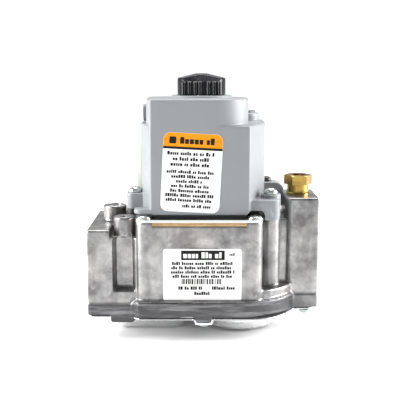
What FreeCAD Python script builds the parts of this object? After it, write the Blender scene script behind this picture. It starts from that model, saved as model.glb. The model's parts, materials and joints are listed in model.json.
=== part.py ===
"""Two-stage combination gas valve, modelled as an assembly of separate pieces, in millimetres.

Frame: the origin is the middle of the inlet port's mouth. +X runs downstream to the outlet port, +Z
runs up to the knob and -Y is the labelled front. The pipe axis is Y = 0, Z = 0.
"""
import FreeCAD, Part
import math
import os

from FreeCAD import Vector

# ---------------------------------------------------------------- driving dimensions
LENGTH = 131.0  # inlet face to outlet face
REST_Z = -38.0  # the plane the valve stands on
FLANGE_BOTTOM_Z = -24.5  # joint face of the casting
FLANGE_TOP_Z = -15.3  # top of the thick middle flange
LEFT_FLANGE_TOP_Z = -18.0
TERRACE_TOP_Z = -10.0
BODY_TOP_Z = 27.0  # gasket face of the casting
GASKET_T = 2.0
PLATE_T = 1.5
PLATE_BOTTOM_Z = BODY_TOP_Z + GASKET_T
PLATE_TOP_Z = PLATE_BOTTOM_Z + PLATE_T
COVER_BOTTOM_Z = PLATE_TOP_Z + 2.0
DECK_Z = 81.4  # lower deck of the grey cover
COVER_TOP_Z = 95.6
PAD_TOP_Z = 97.0  # round pad under the knob
RIGHT_EAR_TOP_Z = 40.3
LIP_BOTTOM_Z = 32.9
REAR_EAR_TOP_Z = 43.4
WALL = 2.0  # cover wall

PORT_R = 9.9  # pitch radius of the half-inch pipe thread
PORT_DEPTH = 15.0
PASSAGE_R = 8.5

FRONT_Y = -36.5  # middle wall of the casting
FLANGE_Y = -38.5
INLET_FRONT_Y = -33.0
INLET_BACK_Y = 30.0
COVER_FRONT_Y = -32.0
COVER_BACK_Y = 35.0

INLET_TOP_Z = 24.0
OUTLET_TOP_Z = 39.5
OUTLET_X0 = 112.0
OUTLET_HALF_Y = 17.5

FIRST_X = 48.0  # first valve axis
MAIN_X = 86.0  # main valve and diaphragm axis
SEAT_Z = -4.5
WEB_TOP_Z = -6.0
WEB_BOTTOM_Z = -13.0
FIRST_SEAT_R = 7.0
MAIN_SEAT_R = 8.0
FIRST_CHAMBER_R = 13.0
MAIN_CHAMBER_R = 11.0
DIAPHRAGM_R = 29.5

KNOB_X = 63.85
KNOB_R = 13.8
KNOB_BOTTOM_Z = PAD_TOP_Z + 0.3
SHAFT_R = 3.0

TAP_X = 13.0  # inlet pressure tap
TAP_R = 4.4
OUTLET_TAP_X = 120.5
HEX_AF = 14.29  # nine-sixteenths inch across flats
OUTLET_TAP_TOP_Z = OUTLET_TOP_Z + 11.2
HEX_H = 5.2
TERMINAL_Z = (46.0, 55.2, 63.0)  # heights of the three blades

SERVO_X, SERVO_Y = 80.5, -15.5
HIGH_X, HIGH_Y = 90.0, 18.0
LOW_X, LOW_Y = 66.0, 25.0

PLATE_SCREWS = [(32.0, -32.0), (93.5, -32.0), (32.0, 32.0), (93.5, 32.0)]
COVER_SCREWS = [(103.0, -19.0), (25.6, -5.0)]
COVER_SEATS_Z = [42.5, 41.3]  # under the two heads
REAR_SCREW = (104.0, 24.5)
COVER_HEAD_R = 4.0
REAR_HEAD_R = 3.2
POST_R = 5.5
BOTTOM_SCREWS = [(65.0, -35.2), (65.0, 34.0), (124.2, -13.2), (124.2, 13.2)]
FLUSH_SCREWS = [(20.5, 26.2), (40.0, 33.5), (104.5, 27.3), (104.5, -27.3), (40.0, -33.5)]
SCREW_R = 2.0
SCREW_HOLE_R = 2.1
FLUSH_HEAD_R = 3.3
CLEAR = 0.1

SHEET_T = 1.2  # pressed bottom cover
SEAL_T = 0.5
RIM_TOP_Z = FLANGE_BOTTOM_Z - SEAL_T
RIM_BOTTOM_Z = RIM_TOP_Z - SHEET_T
RIM_END_X = 128.6
LUG_X = 65.0
LUG_BOTTOM_Z = -27.2
SIDE_LUG = (12.8, 29.0, -33.0, -26.3)  # foot under the inlet end's front edge
SIDE_LUG_BOTTOM_Z = -28.8

FIRST_LIFT = 3.0
SERVO_LIFT = 1.5
MAIN_LIFT = 4.0
SWITCH_TRAVEL = 1.5
SWITCH_TURN = 90.0  # degrees of knob turn that press the button home

Z_AXIS = Vector(0, 0, 1)


# ---------------------------------------------------------------- shape helpers
def box(x0, x1, y0, y1, z0, z1):
    return Part.makeBox(x1 - x0, y1 - y0, z1 - z0, Vector(x0, y0, z0))


def post(x, y, z0, z1, r):
    return Part.makeCylinder(r, z1 - z0, Vector(x, y, z0), Z_AXIS)


def bar(x0, x1, y, z, r):
    return Part.makeCylinder(r, x1 - x0, Vector(x0, y, z), Vector(1, 0, 0))


def tube(x, y, z0, z1, r_out, r_in):
    return post(x, y, z0, z1, r_out).cut(post(x, y, z0 - 1, z1 + 1, r_in))


def fuse(shapes):
    whole = shapes[0].fuse(shapes[1:]) if len(shapes) > 1 else shapes[0]
    return whole.removeSplitter()


def outline(points, z=0.0):
    """Closed wire through (x, y, corner radius) points, with each corner rounded by a tangent arc."""
    count = len(points)
    ends = []
    for i, (x, y, r) in enumerate(points):
        here = Vector(x, y, z)
        before = (Vector(*points[i - 1][:2], z) - here).normalize()
        after = (Vector(*points[(i + 1) % count][:2], z) - here).normalize()
        if r <= 0:
            ends.append((here, here, None))
            continue
        half = before.getAngle(after) / 2
        reach = r / math.tan(half)
        middle = (before + after).normalize()
        centre = here + middle * (r / math.sin(half))
        ends.append((here + before * reach, here + after * reach, centre - middle * r))
    edges = []
    for i, (start, end, bulge) in enumerate(ends):
        if bulge is not None:
            edges.append(Part.Arc(start, bulge, end).toShape())
        following = ends[(i + 1) % count][0]
        if (following - end).Length > 1e-6:
            edges.append(Part.LineSegment(end, following).toShape())
    return Part.Wire(edges)


def slab(points, z0, z1):
    return Part.Face(outline(points, z0)).extrude(Vector(0, 0, z1 - z0))


def rectangle(x0, x1, y0, y1, r):
    return [(x0, y0, r), (x1, y0, r), (x1, y1, r), (x0, y1, r)]


def soften(shape, radius, z):
    """Fillets every edge that lies wholly in the plane at height z."""
    flat = [e for e in shape.Edges if abs(e.BoundBox.ZMin - z) < 1e-4 and abs(e.BoundBox.ZMax - z) < 1e-4]
    return shape.makeFillet(radius, flat)


def turned(x, y, profile):
    """Solid of revolution about the vertical line at x, y, from (radius, height) points."""
    points = [Vector(x + r, y, z) for r, z in profile]
    face = Part.Face(Part.makePolygon(points + [points[0]]))
    return face.revolve(Vector(x, y, 0), Z_AXIS, 360)


def hexagon(x, y, z0, z1, across_flats):
    r = across_flats / math.sqrt(3)
    corners = [Vector(x + r * math.cos(math.radians(60 * k)), y + r * math.sin(math.radians(60 * k)), z0)
               for k in range(6)]
    return Part.Face(Part.makePolygon(corners + [corners[0]])).extrude(Vector(0, 0, z1 - z0))


def spring(x, y, z0, z1, radius, wire_r, turns):
    """Open coil of round wire that fills the height from z0 to z1."""
    height = z1 - z0 - 2 * wire_r
    coil = Part.makeLongHelix(height / turns, height, radius)
    section = Part.Wire([Part.makeCircle(wire_r, Vector(radius, 0, 0), Vector(0, 1, 0))])
    wire = Part.Wire(coil.Edges).makePipeShell([section], True, True)
    wire.translate(Vector(x, y, z0 + wire_r))
    return wire


def pan_screw(x, y, seat_z, length, head_r=3.7, head_h=2.6, washer_r=0.0, up=True):
    """Cross-recess pan-head screw with its head on top of seat_z; up=False hangs it upside down."""
    profile = [(0, 0), (head_r, 0), (head_r, 0.35 * head_h), (0.92 * head_r, 0.66 * head_h),
               (0.7 * head_r, 0.9 * head_h), (0.4 * head_r, head_h), (0, head_h)]
    head = turned(0, 0, profile)
    recess = 0.55 * head_r
    for wide, deep in ((recess, 0.45), (0.45, recess)):
        head = head.cut(box(-wide, wide, -deep, deep, 0.45 * head_h, head_h + 1))
    screw = head.fuse(post(0, 0, -length, 0, SCREW_R))
    if washer_r:
        screw = screw.fuse(post(0, 0, 0, 0.6, washer_r))
    if not up:
        screw.rotate(Vector(0, 0, 0), Vector(1, 0, 0), 180)
    screw.translate(Vector(x, y, seat_z))
    return screw.removeSplitter()


# ---------------------------------------------------------------- plan outlines
def middle_outline(grow=0.0):
    """Plan of the casting's middle block, which the gasket and plate share."""
    return rectangle(27.5 - grow, 97.7 + grow, FRONT_Y - grow, -FRONT_Y + grow, 5.0 + grow)


def flange_outline():
    """Plan of the thick flange: square and clipped at the inlet end, round at the outlet end."""
    return [(24.0, -33.0, 0), (28.6, FLANGE_Y, 2.0), (120.6, FLANGE_Y, 37.0),
            (120.6, -FLANGE_Y, 37.0), (28.6, -FLANGE_Y, 2.0), (24.0, 30.0, 0)]


def lower_cover_outline(shrink=0.0):
    s = shrink
    return [(35.7 + s, COVER_FRONT_Y + s, 1.0), (90.2 - s, COVER_FRONT_Y + s, 1.0), (99.8 - s, -8.0, 6.0),
            (101.0 - s, 2.0, 6.0), (101.0 - s, COVER_BACK_Y - 11.0, 5.0), (90.5 - s, COVER_BACK_Y - s, 6.0),
            (36.0 + s, COVER_BACK_Y - s, 6.0), (29.0 + s, 27.0, 5.0), (29.0 + s, -4.0, 4.0)]


def upper_cover_outline(shrink=0.0):
    s = shrink
    corner = 19.5 - s
    return [(35.7 + s, COVER_FRONT_Y + s, 1.0), (90.2 - s, COVER_FRONT_Y + s, corner),
            (90.2 - s, 1.0, 9.0), (79.0 - s, 17.5 - s, 8.0), (48.0, 19.0 - s, 8.0),
            (32.6 + s, 14.0 - s, 6.0), (32.6 + s, -12.0, 4.0)]


# ---------------------------------------------------------------- the casting
def casting_outside():
    inlet = soften(slab(rectangle(0, 30, INLET_FRONT_Y, INLET_BACK_Y, 1.0), FLANGE_BOTTOM_Z, INLET_TOP_Z),
                   0.8, INLET_TOP_Z)
    inlet_flange = slab(rectangle(0, 30, INLET_FRONT_Y - 0.4, INLET_BACK_Y + 0.4, 1.0), FLANGE_BOTTOM_Z,
                        LEFT_FLANGE_TOP_Z)
    middle = slab(middle_outline(), FLANGE_BOTTOM_Z, BODY_TOP_Z)
    flange = soften(slab(flange_outline(), FLANGE_BOTTOM_Z, FLANGE_TOP_Z), 1.0, FLANGE_TOP_Z).cut(ramp())
    terrace = soften(post(83.5, 0, FLANGE_TOP_Z - 1, TERRACE_TOP_Z, 36.4), 1.2, TERRACE_TOP_Z)
    neck = box(88, 118, -15, 15, FLANGE_BOTTOM_Z, BODY_TOP_Z)
    outlet = soften(slab(outlet_outline(0.0), FLANGE_BOTTOM_Z, OUTLET_TOP_Z), 0.9, OUTLET_TOP_Z)
    outlet_flange = slab(outlet_outline(0.4), FLANGE_BOTTOM_Z, -17.0)
    pads = [slab(middle_outline(), BODY_TOP_Z - 1, PLATE_BOTTOM_Z).common(
        box(x - 4.5, x + 4.5, y - 5, y + 5, BODY_TOP_Z - 1, PLATE_BOTTOM_Z)) for x, y in PLATE_SCREWS]
    posts = [post(*COVER_SCREWS[0], FLANGE_TOP_Z - 1, PLATE_BOTTOM_Z, POST_R),
             post(*COVER_SCREWS[1], INLET_TOP_Z - 3, PLATE_BOTTOM_Z, POST_R),
             post(*REAR_SCREW, FLANGE_TOP_Z - 1, PLATE_BOTTOM_Z, POST_R)]
    tap_boss = soften(post(TAP_X, 0, INLET_TOP_Z - 1, 33.0, 6.8), 0.8, 33.0)
    small_boss = soften(post(20.4, -23.0, 16.0, 30.4, 6.0), 0.9, 30.4)
    lugs = [lower_lug(LUG_BOTTOM_Z), side_lug()]
    return fuse([inlet, inlet_flange, middle, flange, terrace, neck, outlet, outlet_flange, tap_boss,
                 small_boss, flow_arrow()] + lugs + pads + posts)


def outlet_outline(grow):
    y = OUTLET_HALF_Y + grow
    return [(OUTLET_X0, -y, 5.0), (LENGTH, -y, 1.2), (LENGTH, y, 1.2), (OUTLET_X0, y, 5.0)]


def ramp():
    """Wedge above the sloped step where the thick flange runs down to the inlet end."""
    step = outline_xz([(23.0, LEFT_FLANGE_TOP_Z, 0), (24.2, LEFT_FLANGE_TOP_Z, 0), (27.6, FLANGE_TOP_Z, 0),
                       (27.6, FLANGE_TOP_Z + 1, 0), (23.0, FLANGE_TOP_Z + 1, 0)], -50.0)
    return Part.Face(step).extrude(Vector(0, 100.0, 0))


def side_lug():
    """Foot under the inlet end, square on the left and sloped on the right."""
    x0, x1, y0, y1 = SIDE_LUG
    flat = [(x0, SIDE_LUG_BOTTOM_Z, 1.0), (x1 - 3.5, SIDE_LUG_BOTTOM_Z, 1.0), (x1, FLANGE_BOTTOM_Z + 1, 0),
            (x0, FLANGE_BOTTOM_Z + 1, 0)]
    return Part.Face(outline_xz(flat, y0)).extrude(Vector(0, y1 - y0, 0))


def lower_lug(bottom_z, grow=0.0):
    """Tapered screw lug that hangs below the flange's front edge, drawn in the XZ plane."""
    top, low, high = RIM_TOP_Z + 2.0, 3.4 + grow, 5.6 + grow
    corners = [Vector(LUG_X - high, FLANGE_Y, top), Vector(LUG_X - low, FLANGE_Y, bottom_z),
               Vector(LUG_X + low, FLANGE_Y, bottom_z), Vector(LUG_X + high, FLANGE_Y, top)]
    return Part.Face(Part.makePolygon(corners + [corners[0]])).extrude(Vector(0, 7.0 + grow, 0))


def flow_arrow():
    """Raised arrow on the back wall that points downstream."""
    y = -FRONT_Y - 0.5
    corners = [(48, 2), (66, 2), (66, 6), (76, 0), (66, -6), (66, -2), (48, -2)]
    points = [Vector(x, y, z + 6.0) for x, z in corners]
    return Part.Face(Part.makePolygon(points + [points[0]])).extrude(Vector(0, 1.2, 0))


def chamber_outline(shrink=0.0):
    """Plan of the chamber between the two valves, open at the casting's joint face."""
    s = shrink
    return rectangle(9.0 + s, 62.0, -24.5 + s, 22.5 - s, 6.0)


def casting_cavities():
    ports = [bar(-1, PORT_DEPTH, 0, 0, PORT_R), bar(PORT_DEPTH - 1, FIRST_X, 0, 0, PASSAGE_R),
             bar(MAIN_X, LENGTH - PORT_DEPTH + 1, 0, 0, PASSAGE_R),
             bar(LENGTH - PORT_DEPTH, LENGTH + 1, 0, 0, PORT_R)]
    chambers = [post(FIRST_X, 0, WEB_TOP_Z, BODY_TOP_Z + 3, FIRST_CHAMBER_R),
                post(MAIN_X, 0, WEB_TOP_Z, BODY_TOP_Z + 3, MAIN_CHAMBER_R),
                post(FIRST_X, 0, WEB_BOTTOM_Z - 1, WEB_TOP_Z + 1, FIRST_SEAT_R),
                post(MAIN_X, 0, WEB_BOTTOM_Z - 1, WEB_TOP_Z + 1, MAIN_SEAT_R),
                slab(rectangle(34.0, 62.0, -20.0, 20.0, 5.0), FLANGE_BOTTOM_Z - 1, WEB_BOTTOM_Z),
                slab(chamber_outline(), FLANGE_BOTTOM_Z - 1, -17.5),
                post(MAIN_X, 0, FLANGE_BOTTOM_Z - 1, WEB_BOTTOM_Z, DIAPHRAGM_R)]
    taps = [post(TAP_X, 0, INLET_TOP_Z - 1, 34.0, TAP_R), post(TAP_X, 0, 5.0, INLET_TOP_Z, 1.6),
            post(OUTLET_TAP_X, 0, 28.5, OUTLET_TOP_Z + 1, 4.35), post(OUTLET_TAP_X, 0, 5.0, 30.0, 1.6)]
    screw_holes = [post(x, y, PLATE_BOTTOM_Z - 12, PLATE_BOTTOM_Z + 1, SCREW_HOLE_R)
                   for x, y in PLATE_SCREWS + COVER_SCREWS + [REAR_SCREW]]
    screw_holes += [post(x, y, FLANGE_BOTTOM_Z - 6, FLANGE_BOTTOM_Z + 7, SCREW_HOLE_R)
                    for x, y in BOTTOM_SCREWS + FLUSH_SCREWS]
    screw_holes.append(post(20.4, -23.0, 19.0, 31.0, 1.9))
    pocket = slab(rectangle(12.9, 40.0, -50.0, -14.5, 1.0), 19.5, 40.0)
    pocket = pocket.cut(post(20.4, -23.0, 10, 50, 6.0)).cut(slab(middle_outline(), 0, 60))
    back_recess = slab(rectangle(8.0, 22.0, 23.0, INLET_BACK_Y + 5, 3.0), -8.0, 14.0)
    return ports + chambers + taps + screw_holes + [pocket, front_recess(), front_dimple(), back_recess]


def front_recess():
    """Pocket in the inlet end's front, with drafted walls."""
    mouth = outline_xz(rectangle(13.8, 27.3, -11.4, 19.6, 1.5), INLET_FRONT_Y - 1.0)
    floor = outline_xz(rectangle(16.2, 25.5, -9.0, 19.6, 1.5), INLET_FRONT_Y + 5.0)
    return Part.makeLoft([mouth, floor], True, True)


def front_dimple():
    """Shallow round mark in the middle wall, partly behind the rating label."""
    return Part.makeCylinder(9.8, 1.6, Vector(65.4, FRONT_Y - 1.0, 9.0), Vector(0, 1, 0))


def seat_rings():
    return [tube(FIRST_X, 0, WEB_TOP_Z, SEAT_Z, FIRST_SEAT_R + 1.5, FIRST_SEAT_R),
            tube(MAIN_X, 0, WEB_TOP_Z, SEAT_Z, MAIN_SEAT_R + 1.5, MAIN_SEAT_R)]


def valve_body():
    casting = casting_outside().cut(casting_cavities())
    return fuse([casting] + seat_rings())


# ---------------------------------------------------------------- bottom closure
def rim_outline(inset):
    """Outer plan of the pressed cover and its seal, a little inside the casting's edge."""
    i = inset
    return [(i, INLET_FRONT_Y + i, 2.0), (24.0, INLET_FRONT_Y + i, 0), (28.6 + i / 2, FLANGE_Y + i, 2.0),
            (105.5, FLANGE_Y + i, 22.0), (117.0, -OUTLET_HALF_Y + i, 4.0),
            (RIM_END_X, -OUTLET_HALF_Y + i, 4.0), (RIM_END_X, OUTLET_HALF_Y - i, 4.0),
            (117.0, OUTLET_HALF_Y - i, 4.0), (105.5, -FLANGE_Y - i, 22.0),
            (28.6 + i / 2, -FLANGE_Y - i, 2.0), (24.0, INLET_BACK_Y - i, 0), (i, INLET_BACK_Y - i, 2.0)]


def pan_solid(shrink):
    """Solid inside of the shallow pan at the inlet end; its walls slope in to a flat bottom."""
    s = shrink
    top = outline(rectangle(5.0 + s, 58.0 - s, -25.5 + s, 22.5 - s, 7.0), RIM_TOP_Z if s else RIM_BOTTOM_Z)
    low = outline(rectangle(13.5 + s, 54.0 - s, -14.0 + s, 13.0 - s, 7.0), REST_Z + s)
    return Part.makeLoft([top, low], True, True)


def dome_solid(shrink):
    """Solid inside of the round dome under the diaphragm."""
    s = shrink
    top = RIM_TOP_Z if s else RIM_BOTTOM_Z
    profile = [(0, REST_Z + s), (16.0, REST_Z + s), (21.5 - 0.4 * s, REST_Z + 1.2 + 0.9 * s),
               (26.0 - 0.75 * s, REST_Z + 4.0 + 0.65 * s), (28.5 - s, REST_Z + 8.0 + 0.25 * s),
               (29.4 - s, top), (0, top)]
    return turned(MAIN_X, 0, profile)


def bottom_cover():
    rim = slab(rim_outline(0.6), RIM_BOTTOM_Z, RIM_TOP_Z)
    outside = fuse([rim, pan_solid(0), dome_solid(0), lower_lug(LUG_BOTTOM_Z - SHEET_T, SHEET_T)])
    inside = [pan_solid(SHEET_T), dome_solid(SHEET_T), lower_lug(LUG_BOTTOM_Z)]
    front_trim = box(LUG_X - 12, LUG_X + 12, FLANGE_Y - 1, FLANGE_Y, REST_Z, 0)
    cover = outside.cut(inside + [front_trim])
    cover = cover.cut(box(-10, LENGTH + 10, -60, 60, RIM_TOP_Z, 0))
    holes = [post(x, y, REST_Z, RIM_TOP_Z + 1, SCREW_HOLE_R) for x, y in BOTTOM_SCREWS]
    holes += [flush_cone(x, y, 0.02) for x, y in FLUSH_SCREWS] + [side_lug_gap()]
    return cover.cut(holes).removeSplitter()


def flush_cone(x, y, grow=0.0):
    """Countersunk head as deep as the sheet is thick, its flat side level with the sheet's underside."""
    z, r = RIM_BOTTOM_Z, FLUSH_HEAD_R + grow
    return turned(x, y, [(0, z), (r, z), (r - SHEET_T, z + SHEET_T), (0, z + SHEET_T)])


def side_lug_gap():
    """Notch that clears the foot under the inlet end."""
    x0, x1, y0, y1 = SIDE_LUG
    return box(x0 - 0.3, x1 + 0.6, y0 - 1, y1 + 0.3, REST_Z, 0)


def bottom_seal():
    seal = slab(rim_outline(1.0), RIM_TOP_Z, FLANGE_BOTTOM_Z)
    gaps = [slab(chamber_outline(), RIM_TOP_Z - 1, FLANGE_BOTTOM_Z + 1),
            post(MAIN_X, 0, RIM_TOP_Z - 1, FLANGE_BOTTOM_Z + 1, DIAPHRAGM_R + 1.0),
            lower_lug(LUG_BOTTOM_Z, 0.1), side_lug_gap()]
    gaps += [post(x, y, RIM_TOP_Z - 1, FLANGE_BOTTOM_Z + 1, SCREW_HOLE_R)
             for x, y in BOTTOM_SCREWS + FLUSH_SCREWS]
    return seal.cut(gaps)


def bottom_screws():
    screws = []
    sizes = [(LUG_BOTTOM_Z - SHEET_T, 3.2, 1.6), (RIM_BOTTOM_Z, 3.9, 2.9)]
    for i, (x, y) in enumerate(BOTTOM_SCREWS):
        seat, head_r, head_h = sizes[min(i, 1)]
        screws.append(pan_screw(x, y, seat, 7.0, head_r=head_r, head_h=head_h, up=False))
    return Part.makeCompound(screws)


def flush_screws():
    screws = []
    for x, y in FLUSH_SCREWS:
        cross = [box(x - a, x + a, y - b, y + b, RIM_BOTTOM_Z - 1, RIM_BOTTOM_Z + 0.9)
                 for a, b in ((1.8, 0.4), (0.4, 1.8))]
        shank = post(x, y, RIM_BOTTOM_Z + 0.5, FLANGE_BOTTOM_Z + 5.5, SCREW_R)
        screws.append(fuse([flush_cone(x, y), shank]).cut(cross))
    return Part.makeCompound(screws)


# ---------------------------------------------------------------- joint under the cover
def body_gasket():
    land = post(MAIN_X, 0, BODY_TOP_Z, PLATE_BOTTOM_Z, 14.6)
    gasket = slab(middle_outline(), BODY_TOP_Z, PLATE_BOTTOM_Z).fuse(land)
    corners = [box(x - 4.6, x + 4.6, y - 5.1, y + 5.1, BODY_TOP_Z - 1, PLATE_BOTTOM_Z + 1)
               for x, y in PLATE_SCREWS]
    openings = [post(FIRST_X, 0, 0, 60, FIRST_CHAMBER_R), post(MAIN_X, 0, 0, 60, MAIN_CHAMBER_R)]
    openings += [post(x, y, 0, 60, POST_R + CLEAR) for x, y in COVER_SCREWS + [REAR_SCREW]]
    return gasket.cut(corners + openings).removeSplitter()


def base_plate():
    land = post(MAIN_X, 0, PLATE_BOTTOM_Z, PLATE_TOP_Z, 14.6)
    plate = slab(middle_outline(0.3), PLATE_BOTTOM_Z, PLATE_TOP_Z).fuse(land)
    holes = [post(x, y, 0, 60, SCREW_HOLE_R + 0.2) for x, y in PLATE_SCREWS + COVER_SCREWS + [REAR_SCREW]]
    holes += [post(FIRST_X, 0, 0, 60, 5.6), post(SERVO_X, SERVO_Y, 0, 60, 0.9)]
    return plate.cut(holes).removeSplitter()


def plate_screws():
    return Part.makeCompound([pan_screw(x, y, PLATE_TOP_Z, 11.0, head_h=1.9, washer_r=4.4)
                              for x, y in PLATE_SCREWS])


# ---------------------------------------------------------------- grey cover
def cover_outside():
    lower = soften(slab(lower_cover_outline(), COVER_BOTTOM_Z, DECK_Z), 0.7, DECK_Z)
    upper = soften(slab(upper_cover_outline(), COVER_BOTTOM_Z, COVER_TOP_Z), 0.7, COVER_TOP_Z)
    pad = soften(post(KNOB_X, 0, COVER_TOP_Z - 1, PAD_TOP_Z, 17.5), 0.6, PAD_TOP_Z)
    towers = [soften(post(HIGH_X, HIGH_Y, DECK_Z - 1, 86.0, 8.6), 1.6, 86.0),
              soften(post(LOW_X, LOW_Y, DECK_Z - 1, 86.0, 7.6), 1.6, 86.0)]
    right_ear = slab([(86.0, -30.0, 0), (107.6, -30.0, 4.5), (107.6, -12.5, 4.5), (86.0, -12.5, 0)],
                     PLATE_BOTTOM_Z, RIGHT_EAR_TOP_Z)
    boss = post(*COVER_SCREWS[0], PLATE_BOTTOM_Z + 1, COVER_SEATS_Z[0], 5.6)
    left_ear = slab([(20.6, -11.0, 4.0), (38.0, -11.0, 0), (38.0, 1.5, 0), (20.6, 1.5, 4.0)],
                    PLATE_BOTTOM_Z, COVER_SEATS_Z[1])
    ears = [soften(right_ear, 0.7, RIGHT_EAR_TOP_Z), soften(boss, 0.7, COVER_SEATS_Z[0]),
            soften(left_ear, 0.7, COVER_SEATS_Z[1]), rear_ear(), front_lip()]
    return fuse([lower, upper, pad] + towers + ears)


def rear_ear():
    """Ear behind the right side, whose outer end falls away in a quarter round."""
    side = outline_xz([(90.0, PLATE_BOTTOM_Z, 0), (114.6, PLATE_BOTTOM_Z, 3.0),
                       (114.6, REAR_EAR_TOP_Z, 6.0), (90.0, REAR_EAR_TOP_Z, 0)], REAR_SCREW[1] - 6.5)
    return Part.Face(side).extrude(Vector(0, 12.5, 0))


def outline_xz(points, y):
    """Like outline, drawn upright in the plane at y from (x, z, radius) points."""
    flat = outline(points, 0.0)
    flat.rotate(Vector(0, 0, 0), Vector(1, 0, 0), 90)
    flat.translate(Vector(0, y, 0))
    return flat


def front_lip():
    """Short rounded lip that shelters the plate's front-left screw."""
    lip = slab([(26.4, COVER_FRONT_Y, 4.0), (38.0, COVER_FRONT_Y, 0), (38.0, -23.0, 0), (26.4, -23.0, 4.0)],
               LIP_BOTTOM_Z, LIP_BOTTOM_Z + 2.8)
    return soften(lip, 1.1, LIP_BOTTOM_Z + 2.8)


def lower_skirt():
    """Thin inner skirt that stands on the plate and leaves a shadow groove under the outer wall."""
    outside = slab(lower_cover_outline(1.0), PLATE_TOP_Z, COVER_BOTTOM_Z + 1)
    return outside.cut(slab(lower_cover_outline(WALL), PLATE_TOP_Z - 1, COVER_BOTTOM_Z + 2))


def cover_inside():
    lower = slab(lower_cover_outline(WALL), 20.0, DECK_Z - WALL)
    upper = slab(upper_cover_outline(WALL), 20.0, COVER_TOP_Z - WALL)
    return [lower, upper]


def regulator_sleeves():
    """Threaded sleeves that hang under the deck and guide the two adjusting screws."""
    return [post(HIGH_X, HIGH_Y, 66.0, DECK_Z, 6.9), post(LOW_X, LOW_Y, 66.0, DECK_Z, 6.9)]


def cover_holes():
    holes = []
    for x, y in ((HIGH_X, HIGH_Y), (LOW_X, LOW_Y)):
        holes += [post(x, y, 60.0, 84.0, 4.6), post(x, y, 83.0, 90.0, 5.2)]
    holes.append(post(KNOB_X, 0, 90.0, 100.0, SHAFT_R + CLEAR))
    holes.append(post(KNOB_X, 0, PAD_TOP_Z - 2.0, 100.0, 4.9))
    for x, y, seat_z, head_r in [(*p, z, COVER_HEAD_R) for p, z in zip(COVER_SCREWS, COVER_SEATS_Z)] + [
            (*REAR_SCREW, REAR_EAR_TOP_Z, REAR_HEAD_R)]:
        holes += [post(x, y, 20.0, seat_z + 2, SCREW_HOLE_R + CLEAR),
                  post(x, y, seat_z, seat_z + 5, head_r + 0.3)]
    for x, y in PLATE_SCREWS:
        holes.append(post(x, y, 20.0, LIP_BOTTOM_Z, 5.0))
    notch = outline_xz([(89.4, 25.0, 0), (98.7, 25.0, 0), (98.7, 34.4, 2.2), (89.4, 34.4, 2.2)], -40.0)
    holes.append(Part.Face(notch).extrude(Vector(0, 18.0, 0)))
    holes.append(slab(middle_outline(1.2), 20, PLATE_TOP_Z))
    holes.append(slab(middle_outline(1.2), 20, COVER_BOTTOM_Z).cut(slab(lower_cover_outline(0.99), 10, 40)))
    holes.append(box(27.0, 33.0, 8.0, 23.0, 45.0, 66.0))
    holes.append(Part.makeCylinder(2.0, 12.0, Vector(26.0, 0.0, 87.0), Vector(1, 0, 0)))
    return holes


def face_bead():
    """Raised quarter ring on the front ear."""
    centre = Vector(95.2, -30.6, 30.6)
    ring = Part.makeCylinder(7.9, 1.0, centre, Vector(0, 1, 0)).cut(
        Part.makeCylinder(6.8, 3.0, centre - Vector(0, 1, 0), Vector(0, 1, 0)))
    return ring.common(box(95.7, 110.0, -33.0, -20.0, 31.5, 41.0))


def top_cover():
    shell = cover_outside().cut(cover_inside())
    shell = fuse([shell, lower_skirt(), face_bead(), switch_shelf()] + regulator_sleeves())
    return shell.cut(cover_holes()).removeSplitter()


def switch_shelf():
    """Boss under the cover's roof that holds the switch."""
    return box(KNOB_X - 10, KNOB_X + 10, 8.2, 13.4, 82.0, COVER_TOP_Z - 1)


def cover_screws():
    return Part.makeCompound([pan_screw(x, y, z, 24.0, head_r=COVER_HEAD_R, head_h=3.2)
                              for (x, y), z in zip(COVER_SCREWS, COVER_SEATS_Z)])


def rear_screw():
    """Black screw of the rear ear."""
    return pan_screw(*REAR_SCREW, REAR_EAR_TOP_Z, 24.0, head_r=REAR_HEAD_R, head_h=3.0)


# ---------------------------------------------------------------- ports and taps
def inlet_screen():
    """Fine strainer cup pressed into the inlet passage."""
    cup = bar(15.3, 24.0, 0, 0, PASSAGE_R - 0.02).cut(bar(15.0, 23.4, 0, 0, PASSAGE_R - 0.5))
    holes = []
    for ring_r, count in ((2.4, 6), (5.0, 12)):
        for k in range(count):
            a = 2 * math.pi * k / count
            holes.append(bar(20.0, 30.0, ring_r * math.cos(a), ring_r * math.sin(a), 0.8))
    holes.append(bar(20.0, 30.0, 0, 0, 0.8))
    return cup.cut(holes)


def inlet_tap_plug():
    plug = turned(TAP_X, 0, [(0, 25.0), (TAP_R - 0.7, 25.0), (TAP_R - 0.02, 26.0), (TAP_R - 0.02, 31.6),
                             (TAP_R - 0.5, 32.1), (0, 32.1)])
    return plug.cut(hexagon(TAP_X, 0, 28.5, 33.0, 4.76))


def outlet_tap_adapter():
    """Brass adapter: external thread below, collar, and a hex head with a tapped hole for a gauge."""
    top = OUTLET_TAP_TOP_Z
    stem = post(OUTLET_TAP_X, 0, 31.0, OUTLET_TOP_Z, 4.33)
    collar = turned(OUTLET_TAP_X, 0, [(0, OUTLET_TOP_Z), (6.7, OUTLET_TOP_Z), (6.7, OUTLET_TOP_Z + 0.8),
                                      (6.2, OUTLET_TOP_Z + 1.3), (6.2, top - HEX_H), (0, top - HEX_H)])
    head = hexagon(OUTLET_TAP_X, 0, top - HEX_H - 0.2, top, HEX_AF)
    chamfer = turned(OUTLET_TAP_X, 0, [(0, top - 6), (9.4, top - 6), (9.4, top - 0.9), (7.6, top), (0, top)])
    adapter = fuse([stem, collar, head.common(chamfer)])
    bores = [post(OUTLET_TAP_X, 0, top - 9.0, top + 1, 4.35), post(OUTLET_TAP_X, 0, 20, top, 1.6)]
    return adapter.cut(bores)


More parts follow.
